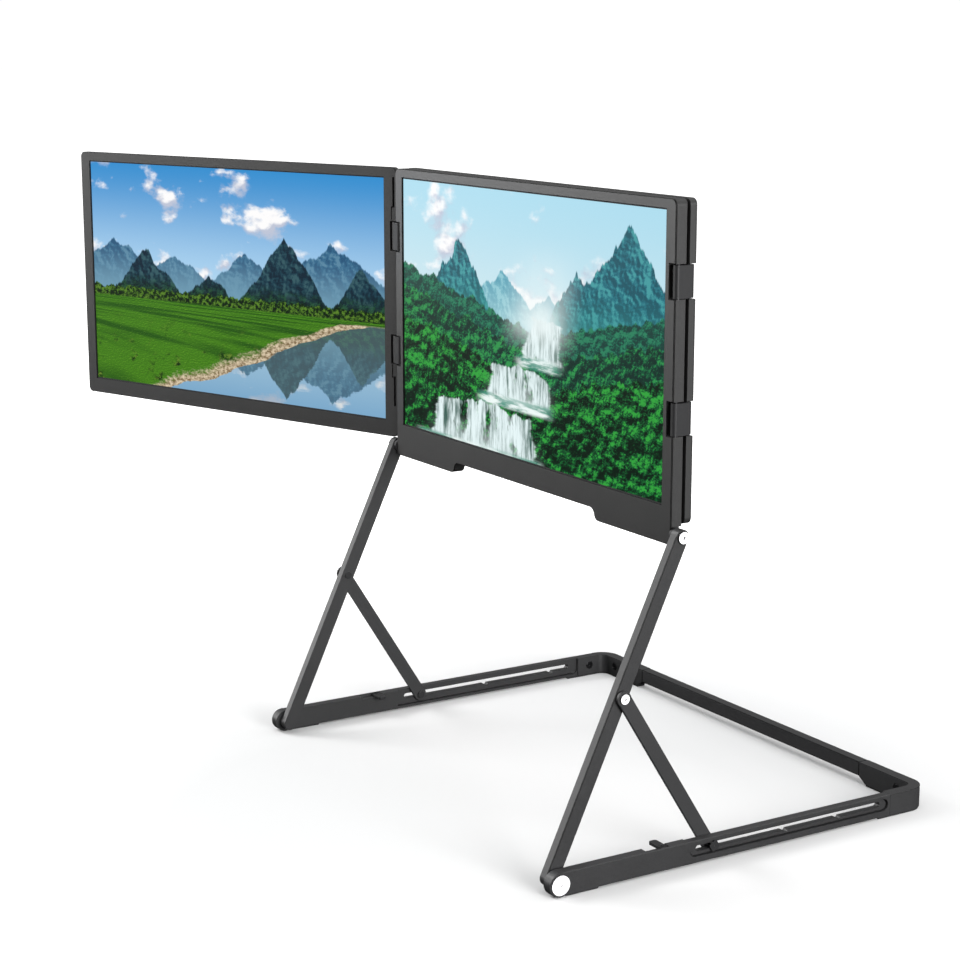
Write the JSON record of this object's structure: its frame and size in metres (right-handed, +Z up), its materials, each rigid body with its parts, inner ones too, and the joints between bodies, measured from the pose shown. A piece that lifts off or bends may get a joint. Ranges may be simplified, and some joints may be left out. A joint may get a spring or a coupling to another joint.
{
  "type": "laptop screen extender",
  "caption": "Folding laptop screen extender: a centre screen on two braced legs over a U-shaped base, with side screens on two-axis hinge links.",
  "frame": {"origin": "on the table, under the middle of the bounding box of the opened extender", "axes": "+X to the right as the user sees the screens, +Y away from the user (screens face -Y), +Z up"},
  "size_m": [0.7354, 0.3428, 0.444],
  "materials": {
    "frame_paint": "satin",
    "housing": "matte",
    "dark_parts": "satin",
    "rubber_feet": "matte",
    "white_caps": "gloss",
    "pin_steel": "satin",
    "pin_black": "satin",
    "picture_glass": "gloss",
    "circuit_board": "matte"
  },
  "bodies": {
    "base": {"rail_right": "frame_paint", "rail_left": "frame_paint", "corner_right": "frame_paint", "corner_left": "frame_paint", "crossbar": "frame_paint", "front_feet": "rubber_feet", "rear_feet": "rubber_feet", "corner_screws": "pin_steel", "base_pins": "pin_black", "base_caps": "white_caps", "latch_screws": "pin_steel"},
    "right_latch": {"latch_right": "dark_parts"},
    "left_latch": {"latch_left": "dark_parts"},
    "legs": {"leg_right": "frame_paint", "leg_left": "frame_paint", "brace_pins": "pin_black", "brace_caps": "white_caps", "top_pins": "pin_black", "top_caps": "white_caps"},
    "braces": {"brace_right": "frame_paint", "brace_left": "frame_paint", "slide_pins": "pin_black", "slide_blocks": "pin_black"},
    "centre_screen": {"centre_bezel": "housing", "centre_lcd": "picture_glass", "centre_cover": "housing", "centre_board": "circuit_board", "tilt_hubs": "pin_black", "centre_pins": "pin_steel"},
    "left_link": {"left_link_top": "dark_parts", "left_link_low": "dark_parts", "left_pins": "pin_steel"},
    "left_screen": {"left_bezel": "housing", "left_lcd": "picture_glass", "left_cover": "housing", "left_board": "circuit_board"},
    "right_link": {"right_link_top": "dark_parts", "right_link_low": "dark_parts", "right_pins": "pin_steel"},
    "right_screen": {"right_bezel": "housing", "right_lcd": "picture_glass", "right_cover": "housing", "right_board": "circuit_board"}
  },
  "joints": [
    {"name": "leg_fold", "type": "hinge", "parent": "base", "child": "legs", "pos_m": [0.16355, -0.14599, 0.00865], "axis": [1, 0, 0], "range_deg": [-55, 0]},
    {"name": "brace_swing", "type": "hinge", "parent": "legs", "child": "braces", "pos_m": [0.16355, -0.09273, 0.12339], "axis": [1, 0, 0], "range_deg": [0, 104.1]},
    {"name": "screen_tilt", "type": "hinge", "parent": "legs", "child": "centre_screen", "pos_m": [0.16355, -0.0457, 0.22471], "axis": [-1, 0, 0], "range_deg": [-72, 20]},
    {"name": "right_latch_turn", "type": "hinge", "parent": "base", "child": "right_latch", "pos_m": [0.36155, -0.06179, 0.0159], "axis": [0, 0, 1], "range_deg": [0, 90]},
    {"name": "left_latch_turn", "type": "hinge", "parent": "base", "child": "left_latch", "pos_m": [-0.03445, -0.06179, 0.0159], "axis": [0, 0, -1], "range_deg": [0, 90]},
    {"name": "left_link_turn", "type": "hinge", "parent": "centre_screen", "child": "left_link", "pos_m": [-0.01705, -0.04475, 0.346], "axis": [0, 0, 1], "range_deg": [0, 90]},
    {"name": "left_screen_turn", "type": "hinge", "parent": "left_link", "child": "left_screen", "pos_m": [-0.02655, -0.04475, 0.346], "axis": [0, 0, 1], "range_deg": [-20, 70]},
    {"name": "right_link_turn", "type": "hinge", "parent": "centre_screen", "child": "right_link", "pos_m": [0.34415, -0.04475, 0.346], "axis": [0, 0, -1], "range_deg": [0, 90]},
    {"name": "right_screen_turn", "type": "hinge", "parent": "right_link", "child": "right_screen", "pos_m": [0.34415, -0.03525, 0.346], "axis": [0, 0, -1], "range_deg": [0, 110]}
  ],
  "couplings": [
    {"joint": "brace_swing", "follows": "leg_fold", "ratio": -1.884}
  ]
}
